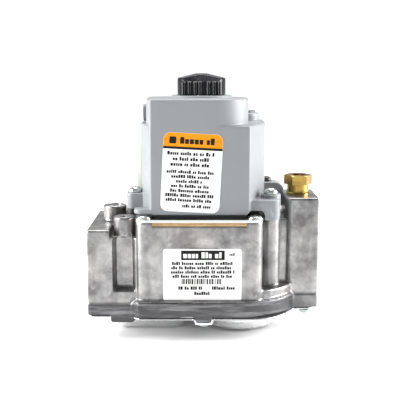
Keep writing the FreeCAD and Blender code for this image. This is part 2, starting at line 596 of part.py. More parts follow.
# ---------------------------------------------------------------- knob and switch
def knob():
    """Round knob with a cone top, two flat ribbed sides for the fingers and a D-shaped bore."""
    side, apex, flat_y = 9.5, 12.0, 9.8
    z = KNOB_BOTTOM_Z
    blank = turned(KNOB_X, 0, [(0, z), (KNOB_R, z), (KNOB_R, z + side - 0.4), (KNOB_R - 0.4, z + side),
                               (8.6, z + side + 1.75), (3.3, z + apex), (0, z + apex)])
    for sign in (-1, 1):
        slice_away = box(KNOB_X - 12.3, KNOB_X + 12.3, flat_y, 20, z - 1, z + 7.6)
        slope = Part.Face(Part.makePolygon([Vector(0, flat_y, z + 7.6), Vector(0, 20, z + 7.6),
                                            Vector(0, 20, z + 14.0), Vector(0, flat_y - 2.2, z + 14.0),
                                            Vector(0, flat_y, z + 7.6)])).extrude(Vector(24.6, 0, 0))
        slope.translate(Vector(KNOB_X - 12.3, 0, 0))
        tool = slice_away.fuse(slope)
        if sign < 0:
            tool = tool.mirror(Vector(KNOB_X, 0, 0), Vector(0, 1, 0))
        blank = blank.cut(tool)
    ribs = []
    for sign in (-1, 1):
        for k in range(-3, 4):
            ribs.append(post(KNOB_X + 3.3 * k, sign * flat_y, z, z + 7.4, 1.0))
    blank = fuse([blank] + ribs)
    bore = post(KNOB_X, 0, z - 1, z + 8.0, SHAFT_R).cut(
        box(KNOB_X - 5, KNOB_X + 5, 2.1, 5, z + 1.0, z + 9.0))
    return blank.cut(bore)


def knob_shaft():
    """D-ended shaft with a groove for the retaining ring and a spiral cam that presses the switch."""
    z = KNOB_BOTTOM_Z
    shaft = post(KNOB_X, 0, 72.0, z + 8.0, SHAFT_R)
    shaft = shaft.cut(box(KNOB_X - 5, KNOB_X + 5, 2.1, 5, z + 1.0, z + 9.0))
    return fuse([shaft.cut(tube(KNOB_X, 0, 92.4, 93.3, 6, 2.5)), switch_cam()])


def switch_cam():
    """Disc whose radius grows evenly with angle, so the button follows the knob in proportion."""
    start_r, steps = 5.0, 24
    span = SWITCH_TURN + 40.0
    rim = []
    for k in range(steps + 1):
        turn = span * k / steps - 20.0
        r = start_r + SWITCH_TRAVEL * min(max(turn / SWITCH_TURN, -0.2), 1.2)
        angle = math.radians(90.0 - turn)
        rim.append(Vector(KNOB_X + r * math.cos(angle), r * math.sin(angle), 75.0))
    curve = Part.BSplineCurve()
    curve.interpolate(rim)
    closing = [Part.LineSegment(rim[-1], Vector(KNOB_X, -3.0, 75.0)).toShape(),
               Part.LineSegment(Vector(KNOB_X, -3.0, 75.0), Vector(KNOB_X - 3.0, 0.0, 75.0)).toShape(),
               Part.LineSegment(Vector(KNOB_X - 3.0, 0.0, 75.0), rim[0]).toShape()]
    face = Part.Face(Part.Wire([curve.toShape()] + closing))
    return face.extrude(Vector(0, 0, 4.0))


def shaft_clip():
    """Retaining ring, open at one side."""
    return tube(KNOB_X, 0, 92.45, 93.25, 5.2, 2.55).cut(box(KNOB_X - 1.2, KNOB_X + 1.2, -6, 0, 92, 94))


def shaft_seal():
    return Part.makeTorus(3.98, 0.8, Vector(KNOB_X, 0, PAD_TOP_Z - 1.1), Z_AXIS)


def switch_body():
    case = box(KNOB_X - 10, KNOB_X + 10, 8.2, 14.2, 72.0, 82.0)
    bore = Part.makeCylinder(1.55, 4.5, Vector(KNOB_X, 8.0, 77.0), Vector(0, 1, 0))
    return case.cut(bore)


def switch_button():
    """Plunger of the switch, with a domed tip 0.1 mm from the cam."""
    button = turned(0, 0, [(0, 0), (0.5, 0), (1.1, 0.35), (1.4, 0.9), (1.4, 5.4), (0, 5.4)])
    button.rotate(Vector(0, 0, 0), Vector(1, 0, 0), -90)
    button.translate(Vector(KNOB_X, 5.1, 77.0))
    return button


def switch_terminals():
    return Part.makeCompound([box(KNOB_X + dx - 0.4, KNOB_X + dx + 0.4, 14.2, 17.0, 74.0, 78.0)
                              for dx in (-6.0, 0.0, 6.0)])


# ---------------------------------------------------------------- solenoids
class Solenoid:
    """Coil, frame, guide tube, pole piece, plunger and spring of one upright solenoid."""

    def __init__(self, x, y, bore_r, coil_r, bottom_z, top_z, travel):
        self.x, self.y = x, y
        self.bore_r, self.coil_r = bore_r, coil_r
        self.z0, self.z1, self.travel = bottom_z, top_z, travel
        self.tube_r = bore_r + 0.5
        self.pole_z = top_z - 10.0

    def guide_tube(self):
        flange = post(self.x, self.y, PLATE_TOP_Z, PLATE_TOP_Z + 1.0, self.tube_r + 2.4)
        wall = post(self.x, self.y, PLATE_TOP_Z, self.z1, self.tube_r)
        return fuse([flange, wall]).cut(post(self.x, self.y, 0, self.z1 + 1, self.bore_r))

    def bobbin(self):
        low, high, r = self.z0 + 1.6, self.z1 - 1.6, self.tube_r
        spool = post(self.x, self.y, low, high, r + 1.2)
        ends = [post(self.x, self.y, low, low + 1.2, self.coil_r),
                post(self.x, self.y, high - 1.2, high, self.coil_r)]
        return fuse([spool] + ends).cut(post(self.x, self.y, 0, 99, r + 0.05))

    def winding(self):
        return tube(self.x, self.y, self.z0 + 2.8, self.z1 - 2.8, self.coil_r - 0.6, self.tube_r + 1.2)

    def yoke(self):
        """Bent strip: foot, back and top, with holes for the tube."""
        half, back = self.coil_r - 1.0, self.coil_r + 0.3
        x, y = self.x, self.y
        foot = box(x - back - 1.6, x + half, y - half, y + half, self.z0, self.z0 + 1.6)
        top = box(x - back - 1.6, x + half, y - half, y + half, self.z1 - 1.6, self.z1)
        upright = box(x - back - 1.6, x - back, y - half, y + half, self.z0, self.z1)
        return fuse([foot, top, upright]).cut(post(x, y, 0, 99, self.tube_r + 0.05))

    def pole_piece(self):
        """Fixed core whose head holds the yoke down."""
        head = post(self.x, self.y, self.z1, self.z1 + 1.4, self.tube_r + 1.2)
        return post(self.x, self.y, self.pole_z, self.z1, self.bore_r).fuse(head).removeSplitter()

    def plunger(self, foot_z):
        body = post(self.x, self.y, foot_z, self.pole_z - self.travel - 0.1, self.bore_r - 0.06)
        return body.cut(post(self.x, self.y, self.pole_z - self.travel - 8.0, 99, 0.62 * self.bore_r))

    def return_spring(self):
        seat_z = self.pole_z - self.travel - 8.0
        return spring(self.x, self.y, seat_z, self.pole_z, 0.44 * self.bore_r, 0.3, 7)


FIRST_COIL = Solenoid(FIRST_X, 0.0, 4.9, 11.8, PLATE_TOP_Z + 1.0, 66.0, FIRST_LIFT)
SERVO_COIL = Solenoid(SERVO_X, SERVO_Y, 3.4, 9.2, PLATE_TOP_Z + 1.0, 60.0, SERVO_LIFT)


def first_valve_stem():
    """Turned stem whose lower end is a cup for the rubber disc."""
    cup = post(FIRST_X, 0, SEAT_Z + 2.2, 0.6, 9.6)
    skirt = tube(FIRST_X, 0, SEAT_Z + 0.8, SEAT_Z + 2.2, 9.6, 9.0)
    return fuse([cup, skirt, post(FIRST_X, 0, 0.6, 33.0, 1.6)])


def first_valve_disc():
    return post(FIRST_X, 0, SEAT_Z + 0.05, SEAT_Z + 2.2, 8.98)


def servo_tip():
    return post(SERVO_X, SERVO_Y, PLATE_TOP_Z + 0.05, PLATE_TOP_Z + 1.5, 2.0)


# ---------------------------------------------------------------- main valve
def main_valve_disc():
    return tube(MAIN_X, 0, SEAT_Z + 0.05, SEAT_Z + 2.2, 10.0, 1.6)


def main_valve_stem():
    """Stem that joins the diaphragm to the valve disc, with a backing flange and spring nose on top."""
    cup = post(MAIN_X, 0, SEAT_Z + 2.2, 0.2, 10.3)
    nose = post(MAIN_X, 0, 0.2, 2.6, 4.2)
    return fuse([cup, nose, post(MAIN_X, 0, RIM_TOP_Z - 2.6, SEAT_Z + 2.2, 1.6)])


def main_spring():
    return spring(MAIN_X, 0, 0.25, PLATE_BOTTOM_Z, 6.0, 0.45, 6)


def main_diaphragm():
    """Rubber disc with a raised ring of convolution, clamped at its rim between casting and cover."""
    z = RIM_TOP_Z
    profile = [(1.6, z), (20.0, z), (21.5, z + 1.4), (25.0, z + 1.4), (26.5, z), (DIAPHRAGM_R + 0.9, z),
               (DIAPHRAGM_R + 0.9, z + 0.5), (26.9, z + 0.5), (25.4, z + 1.9), (21.1, z + 1.9),
               (19.6, z + 0.5), (1.6, z + 0.5)]
    return turned(MAIN_X, 0, profile)


def diaphragm_plate():
    plate = turned(MAIN_X, 0, [(1.6, RIM_TOP_Z + 0.5), (18.5, RIM_TOP_Z + 0.5), (19.0, RIM_TOP_Z + 1.0),
                               (19.0, RIM_TOP_Z + 2.0), (1.6, RIM_TOP_Z + 2.0)])
    return plate


def diaphragm_washer():
    """Threaded disc that pinches the rubber from below."""
    return tube(MAIN_X, 0, RIM_TOP_Z - 1.5, RIM_TOP_Z, 14.0, 1.6)


# ---------------------------------------------------------------- regulators
class Regulator:
    """Adjusting stack of one firing rate: cap, screw, cups, spring, diaphragm and its housing."""

    def __init__(self, x, y, disc_r):
        self.x, self.y, self.disc_r = x, y, disc_r

    def housing(self):
        low = post(self.x, self.y, PLATE_TOP_Z, 40.0, self.disc_r)
        return low.cut([post(self.x, self.y, 36.0, 41.0, self.disc_r - 2.0),
                        post(self.x, self.y, 20.0, 37.0, 1.5)])

    def diaphragm(self):
        return post(self.x, self.y, 40.0, 40.6, self.disc_r)

    def clamp_ring(self):
        return tube(self.x, self.y, 40.6, 43.0, self.disc_r, self.disc_r - 2.0)

    def lower_cup(self):
        return turned(self.x, self.y, [(0, 40.6), (5.0, 40.6), (5.0, 42.6), (4.4, 42.6), (4.4, 41.4),
                                       (0, 41.4)])

    def coil(self):
        return spring(self.x, self.y, 41.5, 70.9, 3.4, 0.4, 9)

    def upper_cup(self):
        return post(self.x, self.y, 71.0, 73.0, 4.4)

    def screw(self):
        body = post(self.x, self.y, 73.0, 79.5, 4.53)
        return body.cut(box(self.x - 3.6, self.x + 3.6, self.y - 0.6, self.y + 0.6, 78.0, 81.0))

    def cap(self):
        """Slotted seal cap in the mouth of the tower."""
        top = 87.2
        head = turned(self.x, self.y, [(0, 84.0), (5.15, 84.0), (5.15, 86.0), (6.3, 86.0), (6.3, top - 0.4),
                                       (5.9, top), (0, top)])
        plug = post(self.x, self.y, 82.6, 84.0, 4.5)
        return fuse([head, plug]).cut(box(self.x - 7, self.x + 7, self.y - 0.7, self.y + 0.7, top - 1.0, 90))


HIGH = Regulator(HIGH_X, HIGH_Y, 8.3)
LOW = Regulator(LOW_X, LOW_Y, 7.4)


# ---------------------------------------------------------------- wiring and labels
def terminal_board():
    """Moulded board on the left side with a ridge near its top edge."""
    board = slab(rectangle(25.6, 29.0, 3.6, 27.4, 0.8), 41.0, 68.0)
    ridge = box(24.9, 25.6, 5.0, 26.0, 63.0, 66.5)
    keys = [box(24.9, 25.6, 5.0, 26.0, z - 0.4, z + 0.4) for z in (50.5, 60.0)]
    tongue = box(29.0, 33.0, 8.0, 23.0, 45.0, 66.0)
    return fuse([board, ridge, tongue] + keys).cut([terminal_blade(z, 0.0) for z in TERMINAL_Z])


def terminal_blade(z, point=1.0):
    """Quarter-inch push-on blade that leaves the board towards the back, with a clipped tip and a hole."""
    blade = box(26.9, 27.7, 18.0, 35.0, z - 3.15, z + 3.15)
    if point:
        hole = Part.makeCylinder(0.9, 4, Vector(25, 31.5, z), Vector(1, 0, 0))
        clips = [clip_corner(z, side) for side in (-1, 1)]
        blade = blade.cut([hole] + clips)
    return blade


def clip_corner(z, side):
    edge = z + side * 3.15
    corners = [Vector(26, 35.1, edge), Vector(26, 35.1, edge - side * 1.5),
               Vector(26, 33.6, edge + side * 0.1)]
    return Part.Face(Part.makePolygon(corners + [corners[0]])).extrude(Vector(3, 0, 0))


def terminals():
    return Part.makeCompound([terminal_blade(z) for z in TERMINAL_Z])


def vent_plug():
    """Disc in the upper left side that lets the regulators breathe."""
    disc = Part.makeCylinder(4.8, 2.2, Vector(30.4, 0.0, 87.0), Vector(1, 0, 0))
    stem = Part.makeCylinder(1.95, 4.5, Vector(32.6, 0.0, 87.0), Vector(1, 0, 0))
    orifice = Part.makeCylinder(0.5, 9.0, Vector(29.0, 0.0, 87.0), Vector(1, 0, 0))
    return fuse([disc, stem]).cut(orifice)


def label(width, height, corner, thickness=0.15):
    """Sticker lying in the XZ plane, centred on the origin, with its back face at y = 0."""
    w, h = width / 2, height / 2
    face = Part.Face(outline_xz([(-w, -h, corner), (w, -h, corner), (w, h, corner), (-w, h, corner)], 0.0))
    return face.extrude(Vector(0, -thickness, 0))


def notice_label():
    sticker = label(32.5, 43.5, 4.0)
    sticker.rotate(Vector(0, 0, 0), Vector(0, 1, 0), 3.0)
    sticker.translate(Vector(58.4, COVER_FRONT_Y, 55.8))
    return sticker


def rating_label():
    sticker = label(43.4, 29.4, 1.5)
    sticker.translate(Vector(64.3, FRONT_Y, -0.25))
    return sticker


# ---------------------------------------------------------------- assembly
PARTS = {
    "valve_body": valve_body, "bottom_cover": bottom_cover, "bottom_seal": bottom_seal,
    "bottom_screws": bottom_screws, "body_gasket": body_gasket, "base_plate": base_plate,
    "plate_screws": plate_screws, "top_cover": top_cover, "cover_screws": cover_screws,
    "rear_screw": rear_screw, "flush_screws": flush_screws,
    "inlet_screen": inlet_screen, "inlet_tap_plug": inlet_tap_plug,
    "outlet_tap_adapter": outlet_tap_adapter, "knob": knob, "knob_shaft": knob_shaft,
    "shaft_clip": shaft_clip, "shaft_seal": shaft_seal, "switch_body": switch_body,
    "switch_button": switch_button, "switch_terminals": switch_terminals,
    "first_guide_tube": FIRST_COIL.guide_tube,
    "first_bobbin": FIRST_COIL.bobbin, "first_winding": FIRST_COIL.winding,
    "first_yoke": FIRST_COIL.yoke, "first_pole_piece": FIRST_COIL.pole_piece,
    "first_plunger": lambda: FIRST_COIL.plunger(33.0),
    "first_spring": FIRST_COIL.return_spring, "first_valve_stem": first_valve_stem,
    "first_valve_disc": first_valve_disc,
    "servo_guide_tube": SERVO_COIL.guide_tube, "servo_bobbin": SERVO_COIL.bobbin,
    "servo_winding": SERVO_COIL.winding, "servo_yoke": SERVO_COIL.yoke,
    "servo_pole_piece": SERVO_COIL.pole_piece,
    "servo_plunger": lambda: SERVO_COIL.plunger(PLATE_TOP_Z + 1.5),
    "servo_spring": SERVO_COIL.return_spring, "servo_tip": servo_tip,
    "main_valve_disc": main_valve_disc,
    "main_valve_stem": main_valve_stem, "main_spring": main_spring,
    "main_diaphragm": main_diaphragm, "diaphragm_plate": diaphragm_plate,
    "diaphragm_washer": diaphragm_washer,
    "regulator_housings": lambda: Part.makeCompound([HIGH.housing(), LOW.housing()]),
    "regulator_diaphragms": lambda: Part.makeCompound([HIGH.diaphragm(), LOW.diaphragm()]),
    "regulator_clamps": lambda: Part.makeCompound([HIGH.clamp_ring(), LOW.clamp_ring()]),
    "regulator_lower_cups": lambda: Part.makeCompound([HIGH.lower_cup(), LOW.lower_cup()]),
    "high_spring": HIGH.coil, "high_cup": HIGH.upper_cup, "high_screw": HIGH.screw,
    "low_spring": LOW.coil, "low_cup": LOW.upper_cup, "low_screw": LOW.screw,
    "regulator_caps": lambda: Part.makeCompound([HIGH.cap(), LOW.cap()]),
    "terminal_board": terminal_board, "terminals": terminals, "vent_plug": vent_plug,
    "notice_label": notice_label, "rating_label": rating_label,
}


def main():
    os.makedirs("parts", exist_ok=True)
    for name, make in PARTS.items():
        shape = make()
        state = "ok" if shape.isValid() else "INVALID"
        print(f"{name:22s} {state} solids {len(shape.Solids)} volume {shape.Volume:10.1f}")
        shape.exportStep(f"parts/{name}.step")


main()
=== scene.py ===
"""Looks of a two-stage gas valve: castings, pressed bottom, knob, threads, screws and stickers."""

import json
import math
import random

import bmesh
import bpy
from mathutils import Matrix, Vector


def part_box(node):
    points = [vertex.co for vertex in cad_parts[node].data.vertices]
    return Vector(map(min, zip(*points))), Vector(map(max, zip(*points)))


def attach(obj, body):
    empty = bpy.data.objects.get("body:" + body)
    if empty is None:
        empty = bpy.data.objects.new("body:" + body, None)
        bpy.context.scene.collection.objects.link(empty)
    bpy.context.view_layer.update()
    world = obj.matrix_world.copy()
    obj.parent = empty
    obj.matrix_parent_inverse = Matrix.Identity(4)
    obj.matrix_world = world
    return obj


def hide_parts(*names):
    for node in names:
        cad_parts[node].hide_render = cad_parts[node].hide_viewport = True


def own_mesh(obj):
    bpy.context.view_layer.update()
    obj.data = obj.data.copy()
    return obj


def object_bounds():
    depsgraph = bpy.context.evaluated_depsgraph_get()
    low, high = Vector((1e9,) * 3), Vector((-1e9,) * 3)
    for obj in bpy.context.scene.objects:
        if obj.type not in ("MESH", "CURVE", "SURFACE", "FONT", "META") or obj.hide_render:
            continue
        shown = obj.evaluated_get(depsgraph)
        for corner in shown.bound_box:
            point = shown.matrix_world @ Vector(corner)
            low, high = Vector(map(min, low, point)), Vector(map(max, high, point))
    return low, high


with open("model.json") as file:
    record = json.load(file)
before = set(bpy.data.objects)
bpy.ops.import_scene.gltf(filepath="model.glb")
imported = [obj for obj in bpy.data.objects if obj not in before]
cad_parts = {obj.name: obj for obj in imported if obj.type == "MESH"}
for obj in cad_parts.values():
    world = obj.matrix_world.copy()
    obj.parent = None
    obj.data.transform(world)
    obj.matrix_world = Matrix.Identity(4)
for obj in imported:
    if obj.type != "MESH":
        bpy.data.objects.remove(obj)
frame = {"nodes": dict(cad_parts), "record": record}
cad_low, cad_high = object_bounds()
NODES = frame["nodes"]

MM = 0.001
FLANGE_TOP = -15.3 * MM
INLET_FLANGE_TOP = -18.0 * MM
FLOOR_Z = cad_low.z
KNOB_LOW, KNOB_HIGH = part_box("knob")
KNOB_AXIS = (KNOB_LOW + KNOB_HIGH) / 2

# Stretches over which a finish fades in, from none to full.
INLET_END_X = (26.5 * MM, 24.5 * MM)
FRONT_Y = (-15.0 * MM, -22.0 * MM)
# Painted shade on the cover's skirt, in the gap above the plate, fades in over these two.
GAP_SHADE_Z = (32.5 * MM, 32.1 * MM)
GAP_SHADE_X = (90.6 * MM, 90.1 * MM)
# Painted reflection of the bright floor, low on the pressed bottom's wall, fades in over this one.
PAN_REFLECTION_Z = (-26.8 * MM, -27.6 * MM)

# Ink on the stickers, in millimetres: how far its face stands off the film, and its thickness.
INK_RISE = 0.015
INK_THICK = 0.02
# Share of a letter's width that bold printing fills.
BOLD = 0.95


# ---------------------------------------------------------------- surface finishes
class Finish:
    """A material under construction. Patterns follow the piece's own Object coordinates, in metres."""

    def __init__(self, name, colour, roughness, metallic=0.0):
        self.material = bpy.data.materials.new(name)
        self.material.use_nodes = True
        self.tree = self.material.node_tree
        self.shader = self.tree.nodes["Principled BSDF"]
        self.shader.inputs["Metallic"].default_value = metallic
        self.place = self.tree.nodes.new("ShaderNodeTexCoord").outputs["Object"]
        self.colour = (*colour, 1.0)
        self.roughness = roughness
        self.normal = None

    def node(self, kind, sockets, **settings):
        """Adds a node; each socket is given a value or a link."""
        made = self.tree.nodes.new("ShaderNode" + kind)
        for key, value in settings.items():
            setattr(made, key, value)
        for key, value in sockets.items():
            if isinstance(value, bpy.types.NodeSocket):
                self.tree.links.new(value, made.inputs[key])
            else:
                made.inputs[key].default_value = value
        return made

    def fixed(self, **values):
        """Sets plain values on the shader, such as coat or sheen."""
        for key, value in values.items():
            self.shader.inputs[key.replace("_", " ")].default_value = value

    def noise(self, scale, stretch=(1, 1, 1), detail=4.0, grain=0.55):
        """Noise with about scale features per metre; a stretch below 1 draws it out along that axis."""
        place = self.node("Mapping", {"Vector": self.place, "Scale": stretch}).outputs[0]
        made = self.node("TexNoise", {"Vector": place, "Scale": scale, "Detail": detail, "Roughness": grain})
        return made.outputs["Fac"]

    def cells(self, scale):
        """Distance to the nearest of a scatter of points, with about scale of them per metre."""
        made = self.node("TexVoronoi", {"Vector": self.place, "Scale": scale}, feature="F1")
        return made.outputs["Distance"]

    def axis(self, name):
        return self.node("SeparateXYZ", {"Vector": self.place}).outputs[name]

    def remap(self, value, low, high, to_low=0.0, to_high=1.0):
        """Rescales a value from one range to another and holds it within the second."""
        made = self.node("MapRange", {"Value": value, "From Min": low, "From Max": high,
                                      "To Min": to_low, "To Max": to_high})
        return made.outputs["Result"]

    def math(self, operation, first, second):
        return self.node("Math", {0: first, 1: second}, operation=operation).outputs[0]

    def edges(self, low, high):
        """0 on flats and 1 on the sharpest outer edges of the mesh."""
        return self.remap(self.node("NewGeometry", {}).outputs["Pointiness"], low, high)

    def tint(self, amount, colour):
        """Blends the surface towards a colour where amount is 1."""
        made = self.node("Mix", {0: amount, 6: self.colour, 7: (*colour, 1.0)}, data_type="RGBA")
        self.colour = made.outputs[2]

    def gloss(self, amount, roughness):
        """Blends the roughness towards a value where amount is 1."""
        made = self.node("Mix", {0: amount, 2: self.roughness, 3: roughness}, data_type="FLOAT")
        self.roughness = made.outputs[0]

    def bump(self, height, depth, strength):
        """Lets a height pattern from 0 to 1 move the surface by depth, in metres."""
        sockets = {"Height": height, "Strength": strength, "Distance": depth}
        if self.normal is not None:
            sockets["Normal"] = self.normal
        self.normal = self.node("Bump", sockets).outputs["Normal"]

    def done(self):
        """Joins the colour, roughness and bumps to the shader, and gives the material."""
        for key, value in (("Base Color", self.colour), ("Roughness", self.roughness),
                           ("Normal", self.normal)):
            if isinstance(value, bpy.types.NodeSocket):
                self.tree.links.new(value, self.shader.inputs[key])
            elif value is not None:
                self.shader.inputs[key].default_value = value
        return self.material


def cast_aluminium():
    """Rough die-casting: cloudy grey, dark specks, a dark drawn flange, bright worn edges, painted shade in
    hollows.
    """
    f = Finish("cast_aluminium", (0.245, 0.242, 0.242), 0.38, metallic=0.9)
    clouds = f.noise(60.0, detail=6.0, grain=0.66)
    f.tint(f.remap(clouds, 0.48, 0.62), (0.36, 0.355, 0.35))
    f.tint(f.remap(clouds, 0.48, 0.36), (0.135, 0.132, 0.132))
    drawn = f.noise(110.0, stretch=(1.0, 1.0, 0.14), detail=5.0, grain=0.62)
    f.tint(f.remap(drawn, 0.50, 0.72, 0.0, 0.65), (0.115, 0.113, 0.113))
    blots = f.noise(210.0, detail=5.0, grain=0.7)
    f.tint(f.remap(blots, 0.58, 0.72, 0.0, 0.5), (0.46, 0.455, 0.45))
    f.tint(f.remap(f.noise(23.0, detail=3.0), 0.58, 0.76, 0.0, 0.30), (0.33, 0.30, 0.25))
    f.tint(f.remap(f.cells(420.0), 0.12, 0.02, 0.0, 0.7), (0.10, 0.10, 0.10))
    inlet_end = f.remap(f.axis("X"), *INLET_END_X)
    top = f.remap(inlet_end, 0.0, 1.0, FLANGE_TOP, INLET_FLANGE_TOP)
    depth = f.math("SUBTRACT", top, f.axis("Z"))
    low = f.math("MULTIPLY", f.remap(depth, -0.1 * MM, 0.4 * MM), f.remap(f.axis("Y"), *FRONT_Y))
    f.tint(f.math("MULTIPLY", low, 0.90), (0.058, 0.058, 0.061))
    combed = f.noise(260.0, stretch=(0.10, 0.10, 1.0), detail=5.0, grain=0.65)
    f.tint(f.math("MULTIPLY", low, f.remap(combed, 0.47, 0.64, 0.0, 0.7)), (0.26, 0.26, 0.27))
    f.tint(f.edges(0.54, 0.64), (0.50, 0.495, 0.49))
    # Painted shade: hollows and inner creases of the mesh are darkened, as if shadowed.
    f.tint(f.remap(f.edges(0.49, 0.44), 0.0, 1.0, 0.0, 0.5), (0.11, 0.11, 0.115))
    f.gloss(f.remap(clouds, 0.35, 0.75), 0.27)
    f.gloss(f.math("MULTIPLY", low, 0.7), 0.50)
    f.bump(f.noise(620.0, detail=3.0, grain=0.6), 0.10 * MM, 0.45)
    f.bump(f.noise(85.0, detail=2.0), 0.35 * MM, 0.35)
    return f.done()


def grey_paint():
    """Satin grey paint over a smooth casting: faint orange peel, rubbed edges, painted shade on the skirt.
    """
    f = Finish("grey_paint", (0.195, 0.207, 0.214), 0.40)
    f.fixed(Coat_Weight=0.10, Coat_Roughness=0.35, Specular_IOR_Level=0.45)
    f.tint(f.remap(f.noise(30.0, detail=3.0), 0.35, 0.70, 0.0, 0.5), (0.215, 0.227, 0.233))
    f.tint(f.remap(f.cells(650.0), 0.10, 0.03, 0.0, 0.35), (0.17, 0.18, 0.185))
    f.tint(f.edges(0.53, 0.62), (0.40, 0.415, 0.42))
    # Painted shade: the skirt below the cover's edge, left of the right ear, is made near black as if in
    # shadow.
    gap_shade = f.math("MULTIPLY", f.remap(f.axis("Z"), *GAP_SHADE_Z), f.remap(f.axis("X"), *GAP_SHADE_X))
    f.tint(gap_shade, (0.012, 0.014, 0.014))
    f.gloss(f.remap(f.noise(70.0, detail=3.0), 0.35, 0.7), 0.52)
    f.bump(f.noise(700.0, detail=2.0), 0.03 * MM, 0.30)
    f.bump(f.noise(45.0, detail=2.0), 0.15 * MM, 0.18)
    return f.done()


def bright_sheet():
    """Bright drawn sheet: faint draw lines, handling scuffs, and painted reflection low on the pan's wall.
    """
    f = Finish("bright_sheet", (0.50, 0.50, 0.51), 0.22, metallic=1.0)
    drawn = f.noise(60.0, stretch=(0.3, 1.0, 1.0), detail=4.0)
    f.tint(f.remap(drawn, 0.48, 0.78, 0.0, 0.5), (0.46, 0.46, 0.47))
    scuffs = f.noise(900.0, stretch=(0.05, 1.0, 1.0), detail=3.0)
    f.gloss(f.remap(scuffs, 0.45, 0.75), 0.42)
    f.tint(f.edges(0.55, 0.66), (0.60, 0.60, 0.60))
    # Painted reflection: the sheet low on the pan's wall is made near white, as if it mirrored the floor.
    f.tint(f.remap(f.axis("Z"), *PAN_REFLECTION_Z), (0.90, 0.90, 0.90))
    f.bump(scuffs, 0.02 * MM, 0.3)
    return f.done()


def zinc_plate():
    """Clear passivated zinc: bluish silver with cloudy patches."""
    f = Finish("zinc_plate", (0.52, 0.55, 0.54), 0.22, metallic=1.0)
    f.tint(f.remap(f.noise(240.0, detail=4.0), 0.42, 0.70, 0.0, 0.6), (0.34, 0.38, 0.36))
    f.tint(f.remap(f.cells(1500.0), 0.10, 0.02, 0.0, 0.4), (0.30, 0.32, 0.31))
    f.gloss(f.remap(f.noise(500.0, detail=3.0), 0.4, 0.7), 0.40)
    f.bump(f.noise(1800.0, detail=2.0), 0.02 * MM, 0.35)
    return f.done()


def turned_metal(name, colour, dark, roughness, speck=0.3):
    """Machined metal with fine tool rings round the vertical axis and a little tarnish."""
    f = Finish(name, colour, roughness, metallic=1.0)
    f.tint(f.remap(f.noise(120.0, detail=4.0), 0.45, 0.75, 0.0, 0.6), dark)
    rings = f.noise(2600.0, stretch=(0.02, 0.02, 1.0), detail=2.0)
    f.tint(f.remap(rings, 0.55, 0.8, 0.0, 0.35), dark)
    f.tint(f.remap(f.cells(900.0), 0.10, 0.02, 0.0, speck), tuple(0.3 * c for c in dark))
    f.tint(f.edges(0.54, 0.64), tuple(min(1.0, 1.2 * c) for c in colour))
    tarnish = f.noise(300.0, stretch=(1.0, 1.0, 0.05), detail=3.0)
    f.gloss(f.remap(tarnish, 0.4, 0.7), roughness + 0.14)
    f.bump(rings, 0.02 * MM, 0.30)
    return f.done()


def moulded(name, colour, roughness, grain=0.03, shine=0.5):
    """Moulded plastic: fine spark-eroded texture, faint flow clouds and paler rubbed edges."""
    f = Finish(name, colour, roughness)
    f.fixed(Specular_IOR_Level=shine)
    paler = tuple(min(1.0, 1.35 * c + 0.01) for c in colour)
    f.tint(f.remap(f.noise(90.0, detail=4.0), 0.42, 0.75, 0.0, 0.45), tuple(1.18 * c for c in colour))
    f.tint(f.edges(0.53, 0.63), paler)
    f.gloss(f.remap(f.noise(160.0, detail=3.0), 0.35, 0.7), roughness + 0.12)
    f.bump(f.noise(1500.0, detail=2.0), grain * MM, 0.5)
    return f.done()


def fibre_gasket():
    """Pressed fibre sheet: brown, in thin layers, with pale and dark flecks."""
    f = Finish("fibre_gasket", (0.33, 0.205, 0.095), 0.80)
    layers = f.noise(1500.0, stretch=(0.10, 0.10, 1.0), detail=4.0, grain=0.65)
    f.tint(f.remap(layers, 0.45, 0.72, 0.0, 0.8), (0.50, 0.35, 0.19))
    flecks = f.noise(130.0, stretch=(1, 1, 0.4), detail=4.0)
    f.tint(f.remap(flecks, 0.50, 0.75, 0.0, 0.7), (0.19, 0.11, 0.05))
    f.bump(layers, 0.10 * MM, 0.8)
    return f.done()


def paper(name, colour, roughness=0.42):
    """Printed film label: near-flat colour with a soft mottle and a slight curl of gloss."""
    f = Finish(name, colour, roughness)
    f.tint(f.remap(f.noise(150.0, detail=5.0), 0.40, 0.70, 0.0, 0.5), tuple(0.93 * c for c in colour))
    f.tint(f.remap(f.noise(1700.0, detail=2.0), 0.60, 0.80, 0.0, 0.25), tuple(0.80 * c for c in colour))
    f.gloss(f.remap(f.noise(220.0, detail=3.0), 0.4, 0.7), roughness + 0.10)
    f.bump(f.noise(900.0, detail=2.0), 0.008 * MM, 0.4)
    return f.done()


def ink(name, colour):
    """Printing ink, thin and slightly broken."""
    f = Finish(name, colour, 0.60)
    f.fixed(Specular_IOR_Level=0.2)
    f.tint(f.remap(f.noise(2400.0, detail=3.0), 0.60, 0.85, 0.0, 0.3), tuple(c + 0.05 for c in colour))
    f.bump(f.noise(2400.0, detail=2.0), 0.005 * MM, 0.4)
    return f.done()


def rubber():
    """Dull black rubber with a grey bloom."""
    f = Finish("rubber", (0.022, 0.022, 0.023), 0.62)
    f.tint(f.remap(f.noise(130.0, detail=4.0), 0.45, 0.75, 0.0, 0.5), (0.055, 0.055, 0.055))
    f.gloss(f.remap(f.noise(260.0, detail=3.0), 0.4, 0.7), 0.80)
    f.bump(f.noise(1300.0, detail=2.0), 0.03 * MM, 0.5)
    return f.done()


